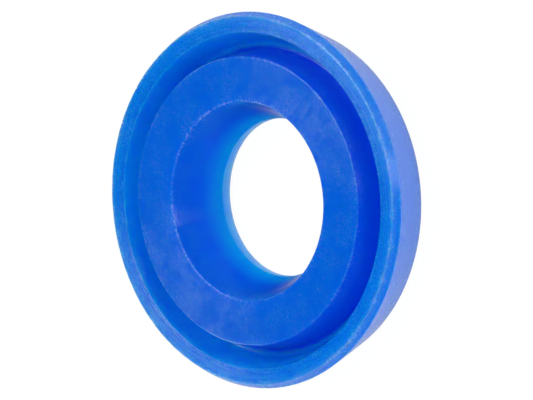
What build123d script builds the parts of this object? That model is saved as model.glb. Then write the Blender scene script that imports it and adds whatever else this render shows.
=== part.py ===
"""U-cup piston seal: one ring of cast polyurethane with a turned lip, groove and bore.

Millimetres. The axis is +Z, the flat heel stands on Z = 0, and the groove opens upwards.
"""

import os

from build123d import *

# Diameters
lip_diameter = 52.0  # over the sealing edge, free and unfitted, for a 50 mm bore
throat_diameter = 21.85  # the land that grips the spigot

# Heights, each measured along the axis
seal_height = 10.15  # heel face to core face, the tallest point
core_proud = 0.75  # how far the core face stands above the lip

# Lip: a thin flared wall, trimmed back in front of its knife-sharp sealing edge
lip_trim_width = 0.57  # radial, sealing edge in to the crease of the lip face
lip_trim_height = 1.22  # axial, crease of the lip face down to the sealing edge
lip_face_width = 2.15  # radial, crease to the lip's inner edge
lip_face_dish = 0.1  # the inner edge lies this much lower than the crease
flank_lean = 2.87  # radial, how far the outer flank comes in from sealing edge to heel

# Groove: two leaning walls down to a narrow floor, with a radius at the root of the lip
groove_depth = 5.0  # axial, core face down to the floor
lip_wall_lean = 1.5  # radial, lip's inner edge in to the floor
groove_floor_width = 0.95
core_wall_lean = 0.9  # radial, floor in to the core's upper edge

# Bore: a short land at the throat, and a cone that opens to the core face
throat_land = 1.0  # axial
bore_lean = 2.82  # radial, throat out to the mouth

# Corners of the ring
heel_radius = 1.55  # outside, where the flank meets the heel
throat_radius = 1.65  # inside, where the land meets the heel
lip_root_radius = 0.6  # where the lip's wall meets the groove floor
core_foot_break = 0.2  # chamfer where the core's wall meets the groove floor
core_edge_break = 0.12  # chamfer on both edges of the core face

# Radii and heights that follow
lip_r = lip_diameter / 2
crease_r = lip_r - lip_trim_width
lip_inner_r = crease_r - lip_face_width
floor_outer_r = lip_inner_r - lip_wall_lean
floor_inner_r = floor_outer_r - groove_floor_width
core_r = floor_inner_r - core_wall_lean
throat_r = throat_diameter / 2
mouth_r = throat_r + bore_lean
heel_r = lip_r - flank_lean

crease_z = seal_height - core_proud
sealing_edge_z = crease_z - lip_trim_height
lip_inner_z = crease_z - lip_face_dish
floor_z = seal_height - groove_depth
land_z = throat_radius + throat_land

# Corners of the section that get a radius or an edge break
heel_inside = (throat_r, 0)
heel_outside = (heel_r, 0)
bore_mouth = (mouth_r, seal_height)
core_edge = (core_r, seal_height)
core_foot = (floor_inner_r, floor_z)
lip_root = (floor_outer_r, floor_z)

with BuildPart() as u_cup:
    with BuildSketch(Plane.XZ) as section:
        with BuildLine():
            Polyline(
                heel_inside,
                (throat_r, land_z),
                bore_mouth,
                core_edge,
                core_foot,
                lip_root,
                (lip_inner_r, lip_inner_z),
                (crease_r, crease_z),
                (lip_r, sealing_edge_z),
                heel_outside,
                close=True,
            )
        make_face()
        for corner, radius in [
            (heel_inside, throat_radius),
            (heel_outside, heel_radius),
            (lip_root, lip_root_radius),
        ]:
            fillet(section.vertices().sort_by_distance(corner)[0], radius)
        for corner, edge_break in [
            (bore_mouth, core_edge_break),
            (core_edge, core_edge_break),
            (core_foot, core_foot_break),
        ]:
            chamfer(section.vertices().sort_by_distance(corner)[0], edge_break)
    revolve(axis=Axis.Z)

u_cup.part.label = "u_cup"

os.makedirs("parts", exist_ok=True)
export_step(u_cup.part, "parts/u_cup.step")
print(f"u_cup volume {u_cup.part.volume:.1f} mm3, box {u_cup.part.bounding_box().size}")
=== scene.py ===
import math
import random
from functools import reduce

import bpy
from mathutils import Matrix, Vector


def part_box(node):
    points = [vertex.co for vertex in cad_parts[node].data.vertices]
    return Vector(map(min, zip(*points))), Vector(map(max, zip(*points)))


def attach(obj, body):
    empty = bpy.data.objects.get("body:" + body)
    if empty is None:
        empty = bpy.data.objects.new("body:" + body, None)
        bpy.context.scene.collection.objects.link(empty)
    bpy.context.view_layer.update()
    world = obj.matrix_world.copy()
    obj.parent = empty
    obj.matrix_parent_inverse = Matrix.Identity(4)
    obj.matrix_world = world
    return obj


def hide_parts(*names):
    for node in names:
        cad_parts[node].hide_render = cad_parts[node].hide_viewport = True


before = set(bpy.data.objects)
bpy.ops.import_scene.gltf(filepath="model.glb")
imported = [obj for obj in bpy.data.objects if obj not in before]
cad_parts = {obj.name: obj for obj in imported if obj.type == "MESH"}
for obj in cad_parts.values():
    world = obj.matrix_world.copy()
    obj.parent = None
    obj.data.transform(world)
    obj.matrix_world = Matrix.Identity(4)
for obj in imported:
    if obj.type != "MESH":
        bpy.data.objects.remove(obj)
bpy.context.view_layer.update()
sealLow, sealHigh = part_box("u_cup")
mm = 0.001


# small helpers for node trees

def feed(tree, socket, value):
    # a socket takes a link or a plain value
    if isinstance(value, bpy.types.NodeSocket):
        tree.links.new(value, socket)
    else:
        socket.default_value = value


def addNode(tree, kind, values=None, **settings):
    node = tree.nodes.new(kind)
    for name, value in settings.items():
        setattr(node, name, value)
    for name, value in (values or {}).items():
        feed(tree, node.inputs[name], value)
    return node


def orderedNode(tree, kind, values, **settings):
    # for nodes whose sockets share one name: the values go in by their order
    node = addNode(tree, kind, **settings)
    for socket, value in zip(node.inputs, values):
        feed(tree, socket, value)
    return node


def mathNode(tree, operation, *values, clamp=False):
    return orderedNode(tree, "ShaderNodeMath", values, operation=operation, use_clamp=clamp).outputs[0]


def times(tree, *values):
    return reduce(lambda a, b: mathNode(tree, "MULTIPLY", a, b), values)


def plus(tree, *values):
    return reduce(lambda a, b: mathNode(tree, "ADD", a, b), values)


def vectorNode(tree, operation, *values, scale=None):
    node = orderedNode(tree, "ShaderNodeVectorMath", values, operation=operation)
    if scale is not None:
        feed(tree, node.inputs["Scale"], scale)
    return node.outputs["Value" if operation in ("LENGTH", "DOT_PRODUCT") else "Vector"]


def rampNode(tree, value, ramp, smooth=True):
    # a ramp's four numbers: as the value goes from the first to the second, the result goes
    # from the third to the fourth
    low, high, start, end = ramp
    values = {"Value": value, "From Min": low, "From Max": high, "To Min": start, "To Max": end}
    kind = "SMOOTHSTEP" if smooth else "LINEAR"
    return addNode(tree, "ShaderNodeMapRange", values, interpolation_type=kind).outputs["Result"]


def noise(tree, vector, size, detail):
    # size is the pattern's, in millimetres
    values = {"Vector": vector, "Scale": 1.0 / (size * mm), "Detail": detail}
    return addNode(tree, "ShaderNodeTexNoise", values).outputs[0]


def addShaders(tree, first, second):
    return orderedNode(tree, "ShaderNodeAddShader", (first, second)).outputs[0]


def mixShaders(tree, factor, first, second):
    return orderedNode(tree, "ShaderNodeMixShader", (factor, first, second)).outputs[0]


# the ring: sizes in millimetres
ring = {
    # its section, drawn once and then swept round the axis
    "throatR": 10.925, "throatLand": 1.0, "boreLean": 2.82,
    "grooveDepth": 5.0, "lipWallLean": 1.5, "floorWidth": 0.95, "coreWallLean": 0.9,
    "coreProud": 0.75, "lipWidth": 0.57, "lipDrop": 1.22, "faceWidth": 2.15, "faceDish": 0.10,
    "flankLean": 2.87,
    "arcAngle": 11, "fewestPieces": 3,  # degrees in one piece of a round, and the fewest in any stretch
    # for each face: the round of the corner where it starts, the length of one division, its
    # roughness, and its green and blue at both ends, which paint light and shade: greener where thin
    # places would let light through, greenest at the groove's root as a painted highlight, and a blue
    # that changes along the bore and the groove's walls as painted shade
    "faces": {
        "land": {"round": 1.65, "step": 0.5, "rough": 0.22, "start": (0.16, 1.0), "end": (0.15, 1.0)},
        "bore": {"round": 0.8, "step": 0.7, "rough": 0.12, "start": (0.15, 0.97), "end": (0.14, 0.67)},
        "core": {"round": 0.14, "step": 0.7, "rough": 0.20, "start": (0.175, 0.8), "end": (0.17, 0.8)},
        "coreWall": {"round": 0.14, "step": 0.9, "rough": 0.2,
                     "start": (0.095, 0.7), "end": (0.115, 0.92)},
        "floor": {"round": 0.25, "step": 0.4, "rough": 0.22, "start": (0.20, 1.0), "end": (0.44, 1.0)},
        "lipWall": {"round": 0.6, "step": 0.7, "rough": 0.20, "start": (0.48, 1.0), "end": (0.34, 1.0)},
        "lipFace": {"round": 0.05, "step": 0.19, "rough": 0.26, "start": (0.22, 1.0), "end": (0.29, 1.0)},
        "trim": {"round": 0.05, "step": 0.3, "rough": 0.25, "start": (0.25, 1.0), "end": (0.24, 1.0)},
        "flank": {"round": 0.05, "step": 0.55, "rough": 0.24, "start": (0.22, 1.0), "end": (0.22, 1.0)},
        "heel": {"round": 1.55, "step": 1.2, "rough": 0.36, "start": (0.22, 1.0), "end": (0.20, 1.0)},
    },
    # the corners that are worn pale or waver, by the face that starts there, as shares of the most
    "wear": {"core": 0.55, "coreWall": 0.45, "lipFace": 0.35, "trim": 1.0, "flank": 0.5},
    "waverShare": {"core": 0.25, "coreWall": 0.2, "lipFace": 0.2, "trim": 0.8, "flank": 0.1},
    "scuffReach": 1.0,  # scuffs fade out this far from a worn corner
    "scuffOver": {"core": 0.2},  # faces that have some scuffs all over
    # turned lines: how much the height, roughness and green of each division vary at random
    "lines": {"lipFace": (0.010, 0.045, 0.010), "trim": (0.004, 0.02, 0.004),
              "flank": (0.004, 0.015, 0.006)},
    "lineSeed": 11,
    # towards its end the throat turns greener, painted light as if lit through from behind, and paler, a
    # painted sheen: from the top height down and the radius in
    "throatGreen": {"top": 6.2, "bottom": 2.5, "radius": 13.0, "fade": 1.2, "amount": 0.26},
    "throatSheen": {"top": 2.9, "bottom": 0.6, "radius": 13.0, "fade": 1.2, "amount": 0.22},
    "creaseHighlight": {"reach": 0.17, "amount": 0.15},  # a painted highlight: a pale band where the lip's face meets its trim
    # the sweep, the waver of the worn edges and the nicks in them
    "segments": 640, "pathR": 20.0, "waver": 0.05, "waverPitch": 1.3, "waverDetail": 3.0,
    "nickChance": 0.0030, "nickSize": 0.28, "nickSizes": (0.0, 1.0, 0.5, 1.3),
    "nickFade": (0.0, 1.0, 1.0, 0.0), "nickDepth": 0.06, "nickWear": 0.85, "nickSeed": 7,
}


def sealCorners(r):
    lipR, height = sealHigh.x / mm, sealHigh.z / mm
    creaseR, creaseZ = lipR - r["lipWidth"], height - r["coreProud"]
    lipInnerR = creaseR - r["faceWidth"]
    floorOuterR, floorZ = lipInnerR - r["lipWallLean"], height - r["grooveDepth"]
    floorInnerR = floorOuterR - r["floorWidth"]
    coreR = floorInnerR - r["coreWallLean"]
    throatR = r["throatR"]
    # radius and height of the corner where each face starts, in the order of the faces
    return [
        Vector((throatR, 0.0)),
        Vector((throatR, r["faces"]["land"]["round"] + r["throatLand"])),
        Vector((throatR + r["boreLean"], height)),
        Vector((coreR, height)),
        Vector((floorInnerR, floorZ)),
        Vector((floorOuterR, floorZ)),
        Vector((lipInnerR, creaseZ - r["faceDish"])),
        Vector((creaseR, creaseZ)),
        Vector((lipR, creaseZ - r["lipDrop"])),
        Vector((lipR - r["flankLean"], 0.0)),
    ]


def glowAt(g, spot):
    low = max(0.0, min(1.0, (g["top"] - spot.y) / (g["top"] - g["bottom"])))
    near = max(0.0, min(1.0, (g["radius"] - spot.x) / g["fade"]))
    return g["amount"] * low * low * (3 - 2 * low) * near


def bandAt(b, spot, middle):
    return b["amount"] * math.exp(-(spot - middle).length / b["reach"])


def roundCorner(before, here, after, radius):
    toBefore, toAfter = (before - here).normalized(), (after - here).normalized()
    half = toBefore.angle(toAfter) / 2
    centre = here + (toBefore + toAfter).normalized() * (radius / math.sin(half))
    spoke = here + toBefore * (radius / math.tan(half)) - centre
    sweep = math.pi - 2 * half
    steps = max(ring["fewestPieces"], math.ceil(math.degrees(sweep) / ring["arcAngle"]))
    side = 1 if toBefore.x * toAfter.y - toBefore.y * toAfter.x < 0 else -1
    return [centre + Matrix.Rotation(side * sweep * k / steps, 2) @ spoke for k in range(steps + 1)]


def sectionPoints(r, corners):
    # each point's place, and its roughness, green, blue, wear, waver and scuff
    names = list(r["faces"])
    count = len(names)
    arcs = [roundCorner(corners[i - 1], corners[i], corners[(i + 1) % count], face["round"])
            for i, face in enumerate(r["faces"].values())]
    dice = random.Random(r["lineSeed"])
    points = []
    for i, name in enumerate(names):
        last, face = r["faces"][names[i - 1]], r["faces"][name]
        before = Vector((last["rough"], *last["end"]))
        here = Vector((face["rough"], *face["start"]))
        after = Vector((face["rough"], *face["end"]))
        wear, nextWear = (r["wear"].get(n, 0.0) for n in (name, names[(i + 1) % count]))
        for k, spot in enumerate(arcs[i]):
            blend = before.lerp(here, k / (len(arcs[i]) - 1))
            points.append((spot, (*blend, wear, r["waverShare"].get(name, 0.0), wear)))
        run = arcs[(i + 1) % count][0] - arcs[i][-1]
        pieces = max(r["fewestPieces"], math.ceil(run.length / face["step"]))
        for k in range(1, pieces):
            gone = run.length * k / pieces
            scuff = max(wear * math.exp(-gone / r["scuffReach"]),
                        nextWear * math.exp((gone - run.length) / r["scuffReach"]),
                        r["scuffOver"].get(name, 0.0))
            sizes = r["lines"].get(name, (0.0, 0.0, 0.0))
            lift, rougher, greener = (size * dice.uniform(-1, 1) for size in sizes)
            spot = arcs[i][-1] + run * k / pieces + run.orthogonal().normalized() * lift
            blend = here.lerp(after, k / pieces) + Vector((rougher, greener, 0.0))
            points.append((spot, (*blend, 0.0, 0.0, scuff)))
    return points


def sectionMesh(r):
    corners = sealCorners(r)
    spots, finishes = zip(*sectionPoints(r, corners))
    mesh = bpy.data.meshes.new("sealSection")
    # the sweep puts a profile's x outwards and its y downwards
    mesh.from_pydata([((p.x - r["pathR"]) * mm, -p.y * mm, 0.0) for p in spots],
                     [(i, (i + 1) % len(spots)) for i in range(len(spots))], [])
    columns = dict(zip(("rough", "green", "blue", "wear", "waver", "scuff"), zip(*finishes)))
    # painted light: the throat's painted glow is added to the green, and its painted sheen and the
    # crease's painted highlight are kept as one pale attribute
    columns["green"] = [green + glowAt(r["throatGreen"], p) for green, p in zip(columns["green"], spots)]
    crease = corners[list(r["faces"]).index("trim")]
    columns["haze"] = [glowAt(r["throatSheen"], p) + bandAt(r["creaseHighlight"], p, crease) for p in spots]
    for name, values in columns.items():
        mesh.attributes.new(name, "FLOAT", "POINT").data.foreach_set("value", values)
    return mesh


# the ring's polyurethane: sizes in millimetres, other numbers are shares or ramps
polyurethane = {
    "depth": 8.0, "depthColours": (0.018, 0.22, 1.0),  # how far light goes in, and each colour's share
    "turned": 0.95, "turnedAngle": 0.25, "gloss": 1.7,
    "turnedFrom": (0.245, 0.255, 0.15, 1.0),  # faces rougher than this have turned lines
    # noises: size and detail
    "tool": (0.38, 1.0), "scratch": (0.30, 2.0), "grain": (0.32, 4.0),
    "cloud": (3.5, 4.0), "patch": (1.1, 3.0),
    "toolLength": 30.0,  # how far tool marks run round the ring
    # scratches have their size at this share of the lip's radius, and change slowly along their length
    "scratchAt": 0.7, "scratchChange": 0.12,
    # how the noises and scuffs change the roughness and the green
    "mottledGloss": (0.7, 1.3, -0.28, 0.32), "patchyScuff": (0.0, 0.2, 0.2, 1.0),
    "grainGloss": (0.3, 0.7, -0.02, 0.02), "toolGloss": (0.35, 0.65, -0.02, 0.02),
    "mottledGreen": (0.7, 1.3, 0.93, 1.07),
    # pale marks: worn edges, scuffs, dust and nicks, and also the painted sheen at the throat and the
    # painted highlight at the crease
    "paleAndSheenBlue": (0.46, 0.50, 0.95, 1.0),
    "wornSide": (0.47, 0.88, 0.0), "wornRound": (-0.3, 0.8, 0.55, 1.0),
    "wornEdge": (0.25, 0.95, 0.0, 1.0), "wornGrain": (0.44, 0.60, 0.0, 1.0),
    "wornCloud": (0.36, 0.56, 0.25, 1.0), "wornPale": 0.6,
    "sheenCloud": (0.3, 0.7, 0.75, 1.25),
    "scuffCloud": (0.34, 0.66, 0.0, 1.0), "scuffGrain": (1.35, 1.75, 0.0, 1.0), "grainShare": 2.0,
    "scuffPale": (0.15, 1.0, 0.20, 0.05),  # paler on smooth faces than on turned ones
    "dustGap": 0.65, "dustSize": 0.07, "dustSizes": (0.0, 1.0, 0.5, 1.3),
    "dustFade": (0.6, 1.0, 1.0, 0.0), "dustShare": 0.30, "dustTurned": 0.25, "dustPale": 1.3,
    "nickRamp": (0.35, 0.75, 0.0, 1.0), "nickPale": 0.35,
    # relief: its height, and what each noise adds to it
    "relief": 0.03, "toolHeight": 0.5, "grainHeight": 0.5, "patchHeight": 1.6, "scratchHeight": -0.4,
    "scratchRamp": (0.55, 0.75, 0.0, 1.0),
}


def finishMaps(tree, f):
    # the ring's attributes, the places on it and the noises that its finish is mixed from
    place = addNode(tree, "ShaderNodeTexCoord").outputs["Object"]
    split = addNode(tree, "ShaderNodeSeparateXYZ", {"Vector": place}).outputs
    flat = addNode(tree, "ShaderNodeCombineXYZ", {"X": split["X"], "Y": split["Y"]}).outputs[0]
    radius = vectorNode(tree, "LENGTH", flat)
    outward = vectorNode(tree, "NORMALIZE", flat)
    maps = {"place": place, "outward": outward}
    for name in ("rough", "green", "blue", "wear", "scuff", "haze", "nick"):
        maps[name] = addNode(tree, "ShaderNodeAttribute", attribute_name=name).outputs["Fac"]
    # tool marks are fine across the section and long round the ring
    rings = addNode(tree, "ShaderNodeCombineXYZ", {"X": radius, "Y": split["Z"]}).outputs[0]
    drift = vectorNode(tree, "SCALE", place, scale=f["tool"][0] / f["toolLength"])
    maps["tool"] = noise(tree, vectorNode(tree, "ADD", rings, drift), *f["tool"])
    # scratches are wiped across the faces: fine round the ring and long across it
    across = vectorNode(tree, "SCALE", outward, scale=sealHigh.x * f["scratchAt"])
    across = vectorNode(tree, "ADD", across, vectorNode(tree, "SCALE", place, scale=f["scratchChange"]))
    maps["scratch"] = noise(tree, across, *f["scratch"])
    for name in ("grain", "cloud", "patch"):
        maps[name] = noise(tree, place, *f[name])
    maps["turned"] = rampNode(tree, maps["rough"], f["turnedFrom"])
    maps["mottle"] = plus(tree, maps["cloud"], maps["patch"])
    maps["patchy"] = times(tree, rampNode(tree, maps["scuff"], f["patchyScuff"]),
                           mathNode(tree, "SUBTRACT", 1.0, maps["turned"]))
    return maps


def finishRoughness(tree, f, m):
    mottled = plus(tree, 1.0, times(tree, rampNode(tree, m["mottle"], f["mottledGloss"]), m["patchy"]))
    grained = rampNode(tree, m["grain"], f["grainGloss"])
    tooled = times(tree, m["turned"], rampNode(tree, m["tool"], f["toolGloss"]))
    return plus(tree, times(tree, m["rough"], mottled), grained, tooled)


def dustDots(tree, f, m):
    cells = addNode(tree, "ShaderNodeTexVoronoi",
                    {"Vector": m["place"], "Scale": 1.0 / (f["dustGap"] * mm)})
    pick = addNode(tree, "ShaderNodeSeparateColor", {"Color": cells.outputs["Color"]}).outputs
    varied = rampNode(tree, pick["Green"], f["dustSizes"], smooth=False)
    size = times(tree, f["dustSize"] / f["dustGap"], varied)
    dot = rampNode(tree, mathNode(tree, "DIVIDE", cells.outputs["Distance"], size), f["dustFade"])
    chosen = mathNode(tree, "LESS_THAN", pick["Red"], f["dustShare"])
    where = plus(tree, times(tree, m["turned"], m["turned"], f["dustTurned"]), m["scuff"])
    return times(tree, dot, chosen, where, f["dustPale"])


# the pale marks: worn edges, scuffs, dust and nicks, together with the painted sheen and highlight
def paleMarksAndSheen(tree, f, m):
    side = rampNode(tree, vectorNode(tree, "DOT_PRODUCT", m["outward"], f["wornSide"]), f["wornRound"])
    broken = times(tree, rampNode(tree, m["grain"], f["wornGrain"]),
                   rampNode(tree, m["cloud"], f["wornCloud"]))
    worn = times(tree, rampNode(tree, m["wear"], f["wornEdge"]), broken, side, f["wornPale"])
    # painted sheen: the throat's pale edge and the crease's pale band, broken up by the cloud
    haze = times(tree, m["haze"], rampNode(tree, m["cloud"], f["sheenCloud"]))
    specks = plus(tree, times(tree, m["grain"], f["grainShare"]), m["scratch"])
    specks = times(tree, rampNode(tree, m["cloud"], f["scuffCloud"]),
                   rampNode(tree, specks, f["scuffGrain"]))
    scuffs = times(tree, m["scuff"], specks, rampNode(tree, m["turned"], f["scuffPale"]))
    nicks = times(tree, rampNode(tree, m["nick"], f["nickRamp"]), f["nickPale"])
    marks = plus(tree, worn, haze, scuffs, dustDots(tree, f, m))
    return mathNode(tree, "ADD", marks, nicks, clamp=True)


def finishColour(tree, f, m):
    green = times(tree, m["green"], rampNode(tree, m["mottle"], f["mottledGreen"]))
    plain = addNode(tree, "ShaderNodeCombineColor", {"Red": 0.0, "Green": green, "Blue": m["blue"]})
    mix = addNode(tree, "ShaderNodeMix", data_type="RGBA")
    feed(tree, mix.inputs["Factor"], paleMarksAndSheen(tree, f, m))
    colours = [s for s in mix.inputs if s.type == "RGBA"]
    feed(tree, colours[0], plain.outputs[0])
    feed(tree, colours[1], f["paleAndSheenBlue"])
    return next(s for s in mix.outputs if s.type == "RGBA")


def finishNormal(tree, f, m):
    tooled = times(tree, m["tool"], m["turned"], f["toolHeight"])
    patches = plus(tree, times(tree, m["grain"], f["grainHeight"]),
                   times(tree, m["patch"], f["patchHeight"]))
    scratches = times(tree, rampNode(tree, m["scratch"], f["scratchRamp"]), m["scuff"],
                      f["scratchHeight"])
    height = plus(tree, tooled, times(tree, patches, m["patchy"]), scratches)
    values = {"Height": height, "Strength": 1.0, "Distance": f["relief"] * mm}
    return addNode(tree, "ShaderNodeBump", values).outputs["Normal"]


def makePolyurethane(f):
    material = bpy.data.materials.new("bluePolyurethane")
    material.use_nodes = True
    tree = material.node_tree
    maps = finishMaps(tree, f)
    values = {
        "Base Color": finishColour(tree, f, maps),
        "Roughness": finishRoughness(tree, f, maps),
        "Normal": finishNormal(tree, f, maps),
        "Tangent": addNode(tree, "ShaderNodeTangent", direction_type="RADIAL", axis="Z").outputs[0],
        "Anisotropic": f["turned"], "Anisotropic Rotation": f["turnedAngle"], "IOR": f["gloss"],
        "Subsurface Weight": 1.0, "Subsurface Scale": f["depth"] * mm,
        "Subsurface Radius": f["depthColours"],
    }
    for name, value in values.items():
        feed(tree, tree.nodes["Principled BSDF"].inputs[name], value)
    return material


ringMaterial = makePolyurethane(polyurethane)
print("polyurethane ready")


def readAttribute(tree, name):
    return addNode(tree, "GeometryNodeInputNamedAttribute", {"Name": name}, data_type="FLOAT").outputs[0]


def waverEdges(tree, given, swept, outward):
    # the cut edges waver a little inwards as they go round
    perTurn = mathNode(tree, "DIVIDE", sealHigh.x, given["Waver Pitch"])
    values = {"Vector": outward, "Scale": perTurn, "Detail": ring["waverDetail"]}
    drift = addNode(tree, "ShaderNodeTexNoise", values, normalize=False).outputs[0]
    share = readAttribute(tree, "waver")
    inward = times(tree, mathNode(tree, "ABSOLUTE", drift), -1.0)
    reach = times(tree, share, given["Waver"], inward)
    offset = vectorNode(tree, "SCALE", outward, scale=reach)
    return addNode(tree, "GeometryNodeSetPosition", {"Geometry": swept, "Offset": offset}).outputs[0]


def nickEdges(tree, given, whole):
    # small nicks sit at random on the most worn edges, and the attribute nick shows where
    worn = addNode(tree, "FunctionNodeCompare", {"A": readAttribute(tree, "wear"), "B": ring["nickWear"]},
                   operation="GREATER_THAN").outputs[0]
    chosen = addNode(tree, "FunctionNodeRandomValue",
                     {"Probability": given["Nick Chance"], "Seed": given["Seed"]},
                     data_type="BOOLEAN").outputs[3]
    both = orderedNode(tree, "FunctionNodeBooleanMath", (worn, chosen), operation="AND").outputs[0]
    spots = addNode(tree, "GeometryNodeMeshToPoints", {"Mesh": whole, "Selection": both}).outputs[0]
    nearest = addNode(tree, "GeometryNodeProximity", {"Geometry": spots}, target_element="POINTS").outputs
    varied = addNode(tree, "ShaderNodeTexWhiteNoise", {"Vector": nearest["Position"]}).outputs["Value"]
    size = times(tree, given["Nick Size"], rampNode(tree, varied, ring["nickSizes"], smooth=False))
    nick = rampNode(tree, mathNode(tree, "DIVIDE", nearest["Distance"], size), ring["nickFade"])
    marked = addNode(tree, "GeometryNodeStoreNamedAttribute",
                     {"Geometry": whole, "Name": "nick", "Value": nick},
                     data_type="FLOAT", domain="POINT").outputs[0]
    push = times(tree, nick, given["Nick Depth"], -1.0)
    offset = vectorNode(tree, "SCALE", addNode(tree, "GeometryNodeInputNormal").outputs[0], scale=push)
    return addNode(tree, "GeometryNodeSetPosition", {"Geometry": marked, "Offset": offset}).outputs[0]


ringInputs = {
    "Segments": "Int", "Path Radius": "Float", "Waver": "Float", "Waver Pitch": "Float",
    "Nick Chance": "Float", "Nick Size": "Float", "Nick Depth": "Float", "Seed": "Int",
    "Material": "Material",
}


def makeRingTree():
    # sweeps the section round the axis
    tree = bpy.data.node_groups.new("sweptRing", "GeometryNodeTree")
    face = tree.interface
    face.new_socket("Geometry", in_out="INPUT", socket_type="NodeSocketGeometry")
    for name, kind in ringInputs.items():
        face.new_socket(name, in_out="INPUT", socket_type="NodeSocket" + kind)
    face.new_socket("Geometry", in_out="OUTPUT", socket_type="NodeSocketGeometry")
    given = addNode(tree, "NodeGroupInput").outputs
    profile = addNode(tree, "GeometryNodeMeshToCurve", {"Mesh": given["Geometry"]}).outputs[0]
    path = addNode(tree, "GeometryNodeCurvePrimitiveCircle",
                   {"Resolution": given["Segments"], "Radius": given["Path Radius"]}).outputs[0]
    upright = addNode(tree, "GeometryNodeSetCurveNormal", {"Curve": path}, mode="Z_UP").outputs[0]
    swept = addNode(tree, "GeometryNodeCurveToMesh",
                    {"Curve": upright, "Profile Curve": profile}).outputs[0]

    place = addNode(tree, "GeometryNodeInputPosition").outputs[0]
    outward = vectorNode(tree, "NORMALIZE", vectorNode(tree, "MULTIPLY", place, (1.0, 1.0, 0.0)))
    worn = nickEdges(tree, given, waverEdges(tree, given, swept, outward))
    smooth = addNode(tree, "GeometryNodeSetShadeSmooth", {"Geometry": worn}).outputs[0]
    real = addNode(tree, "GeometryNodeRealizeInstances", {"Geometry": smooth}).outputs[0]
    dressed = addNode(tree, "GeometryNodeSetMaterial", {"Geometry": real, "Material": given["Material"]})
    addNode(tree, "NodeGroupOutput", {"Geometry": dressed.outputs[0]})
    return tree


def socketId(tree, name):
    return next(item.identifier for item in tree.interface.items_tree
                if item.item_type == "SOCKET" and item.in_out == "INPUT" and item.name == name)


def growPiece(name, mesh, tree, values):
    # runs a node tree on a mesh and keeps the result as a plain mesh
    maker = bpy.data.objects.new(name + "Maker", mesh)
    bpy.context.scene.collection.objects.link(maker)
    modifier = maker.modifiers.new("tree", "NODES")
    modifier.node_group = tree
    for socketName, value in values.items():
        modifier[socketId(tree, socketName)] = value
    evaluated = maker.evaluated_get(bpy.context.evaluated_depsgraph_get())
    result = bpy.data.meshes.new_from_object(evaluated)
    bpy.data.objects.remove(maker)
    result.name = name
    piece = bpy.data.objects.new(name, result)
    bpy.context.scene.collection.objects.link(piece)
    return piece


seal = growPiece("seal", sectionMesh(ring), makeRingTree(), {
    "Segments": ring["segments"], "Path Radius": ring["pathR"] * mm,
    "Waver": ring["waver"] * mm, "Waver Pitch": ring["waverPitch"] * mm,
    "Nick Chance": ring["nickChance"], "Nick Size": ring["nickSize"] * mm,
    "Nick Depth": ring["nickDepth"] * mm, "Seed": ring["nickSeed"], "Material": ringMaterial})
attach(seal, "root")
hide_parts("u_cup")
print("seal made:", len(seal.data.polygons), "faces")

# the pale floor: sizes in metres
studioFloor = {
    "half": 6.0, "gap": 0.00002, "grey": 0.8,
    # light that comes up through the ring, by the distance from the axis
    "middleColour": (0.80, 0.84, 1.0, 1.0), "middle": (0.0104, 0.0116, 0.7, 0.0),
    # how white reflections see it: inside the ring by their slope, elsewhere by that distance
    "inside": (0.20, 0.44, 1.0, 0.0), "around": (0.0125, 0.0145, 0.0, 0.92),
    "far": (0.045, 0.090, 1.0, 0.0),
    "shown": 0.97, "shadow": 0.06,  # the camera sees white with a soft shadow
}


def greyShader(tree, value):
    return addNode(tree, "ShaderNodeBsdfDiffuse", {"Color": (value, value, value, 1.0)}).outputs[0]


def glowShader(tree, strength, colour=(1.0, 1.0, 1.0, 1.0)):
    return addNode(tree, "ShaderNodeEmission", {"Color": colour, "Strength": strength}).outputs[0]


def makeFloorMaterial(f):
    material = bpy.data.materials.new("paleFloor")
    material.use_nodes = True
    tree = material.node_tree
    tree.nodes.clear()
    ray = addNode(tree, "ShaderNodeLightPath").outputs
    away = vectorNode(tree, "LENGTH", addNode(tree, "ShaderNodeTexCoord").outputs["Object"])
    facing = addNode(tree, "ShaderNodeLayerWeight", {"Blend": 0.5}).outputs["Facing"]
    middle = glowShader(tree, rampNode(tree, away, f["middle"]), f["middleColour"])
    lit = addShaders(tree, greyShader(tree, f["grey"]), middle)
    near = mathNode(tree, "MAXIMUM", rampNode(tree, facing, f["inside"]),
                    rampNode(tree, away, f["around"]))
    mirrored = glowShader(tree, times(tree, near, rampNode(tree, away, f["far"])))
    shown = addShaders(tree, greyShader(tree, f["shadow"]), glowShader(tree, f["shown"]))
    seen = mathNode(tree, "MAXIMUM", ray["Is Camera Ray"], ray["Is Transmission Ray"])
    mix = mixShaders(tree, seen, mixShaders(tree, ray["Is Glossy Ray"], lit, mirrored), shown)
    addNode(tree, "ShaderNodeOutputMaterial", {"Surface": mix})
    return material


def makeFloor(f):
    mesh = bpy.data.meshes.new("floor")
    height = sealLow.z - f["gap"]
    corners = [(x * f["half"], y * f["half"], height) for x, y in ((-1, -1), (1, -1), (1, 1), (-1, 1))]
    mesh.from_pydata(corners, [], [(0, 1, 2, 3)])
    mesh.materials.append(makeFloorMaterial(f))
    floor = bpy.data.objects.new("floor", mesh)
    bpy.context.scene.collection.objects.link(floor)


makeFloor(studioFloor)
print("floor laid")

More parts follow.
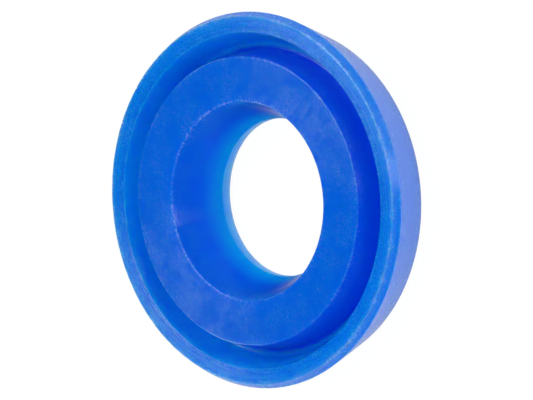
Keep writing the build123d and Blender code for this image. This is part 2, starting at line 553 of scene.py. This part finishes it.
# soft suns: where each stands, seen from the ring, and its strength
keys = {"angle": 19, "highlight": True, "suns": {  # these leave highlights
    "keyHigh": ((0.48, 0.17, 0.86), 0.47),
    "keySide": ((0.52, 0.44, 0.73), 0.28),
    "keyTop": ((0.20, 0.26, 0.94), 0.37),
    "keyRight": ((0.75, 0.10, 0.65), 0.21),
    "keyBack": ((-0.32, 0.77, 0.56), 0.12),
    "keyBackLow": ((-0.49, 0.84, 0.22), 0.41),
    "keyBackSide": ((0.57, 0.82, 0.05), 0.25),
    "keyFront": ((0.47, -0.73, 0.49), 0.27),
    "keyNear": ((-0.52, -0.30, 0.80), 0.12),
    "keyLow": ((0.14, -0.99, 0.07), 0.41),
}}
fills = {"angle": 36, "highlight": False, "suns": {  # these only light
    "fillLeft": ((-0.88, -0.04, 0.47), 0.29),
    "fillLeftLow": ((-0.91, -0.38, 0.18), 0.58),
    "fillLeftBack": ((-0.83, 0.48, 0.29), 0.12),
    "fillRight": ((0.93, -0.34, 0.14), 0.52),
    "fillRightFront": ((0.69, -0.58, 0.43), 0.25),
    "fillFront": ((-0.26, -0.96, 0.07), 0.66),
    "fillFrontLeft": ((-0.62, -0.43, 0.65), 0.23),
    "fillNear": ((-0.21, -0.51, 0.84), 0.17),
    "fillTop": ((-0.32, -0.08, 0.95), 0.24),
    "fillBack": ((-0.32, 0.77, 0.56), 0.09),
}}


def makeSuns(group):
    for name, (place, strength) in group["suns"].items():
        data = bpy.data.lights.new(name, "SUN")
        data.angle = math.radians(group["angle"])
        data.energy = strength
        lamp = bpy.data.objects.new(name, data)
        bpy.context.scene.collection.objects.link(lamp)
        direction = Vector(place).normalized()
        turn = direction.to_track_quat("Z", "Y").to_matrix().to_4x4()
        lamp.matrix_world = Matrix.Translation(direction) @ turn
        lamp.visible_glossy = group["highlight"]


makeSuns(keys)
makeSuns(fills)
print("lamps set")

studioWorld = {"colour": (1.0, 1.0, 1.0, 1.0), "light": 0.01, "shown": 1.0}


def makeWorld(w):
    world = bpy.data.worlds.new("studio")
    bpy.context.scene.world = world
    world.use_nodes = True
    tree = world.node_tree
    tree.nodes.clear()
    ray = addNode(tree, "ShaderNodeLightPath").outputs
    soft, white = (addNode(tree, "ShaderNodeBackground", {"Color": w["colour"], "Strength": w[name]})
                   for name in ("light", "shown"))
    mix = mixShaders(tree, ray["Is Camera Ray"], soft.outputs[0], white.outputs[0])
    addNode(tree, "ShaderNodeOutputWorld", {"Surface": mix})


makeWorld(studioWorld)

# the camera looks almost at the centre of the sealing edge
# sizes in metres, but lens and sensor in millimetres
eye = {
    "right": (-0.1057, -0.7518, -0.6508), "up": (0.9943, -0.0799, -0.0692),
    "back": (0.0, -0.6545, 0.7561),
    "distance": 1.3, "slide": 0.001458, "rise": 0.000022, "lens": 637.7, "sensor": 36.0,
    "clip": (0.05, 20.0),
}


def makeCamera(e):
    right, up, back = (Vector(e[k]).normalized() for k in ("right", "up", "back"))
    data = bpy.data.cameras.new("camera")
    data.lens = e["lens"]
    data.sensor_width = e["sensor"]
    data.clip_start, data.clip_end = e["clip"]
    camera = bpy.data.objects.new("camera", data)
    bpy.context.scene.collection.objects.link(camera)
    lipZ = sealHigh.z - (ring["coreProud"] + ring["lipDrop"]) * mm
    place = Vector((0.0, 0.0, lipZ)) + right * e["slide"] + up * e["rise"] + back * e["distance"]
    turn = Matrix((right, up, back)).transposed().to_4x4()
    camera.matrix_world = Matrix.Translation(place) @ turn
    bpy.context.scene.camera = camera


makeCamera(eye)
bpy.context.scene.view_settings.view_transform = "Standard"
print("world and camera made")
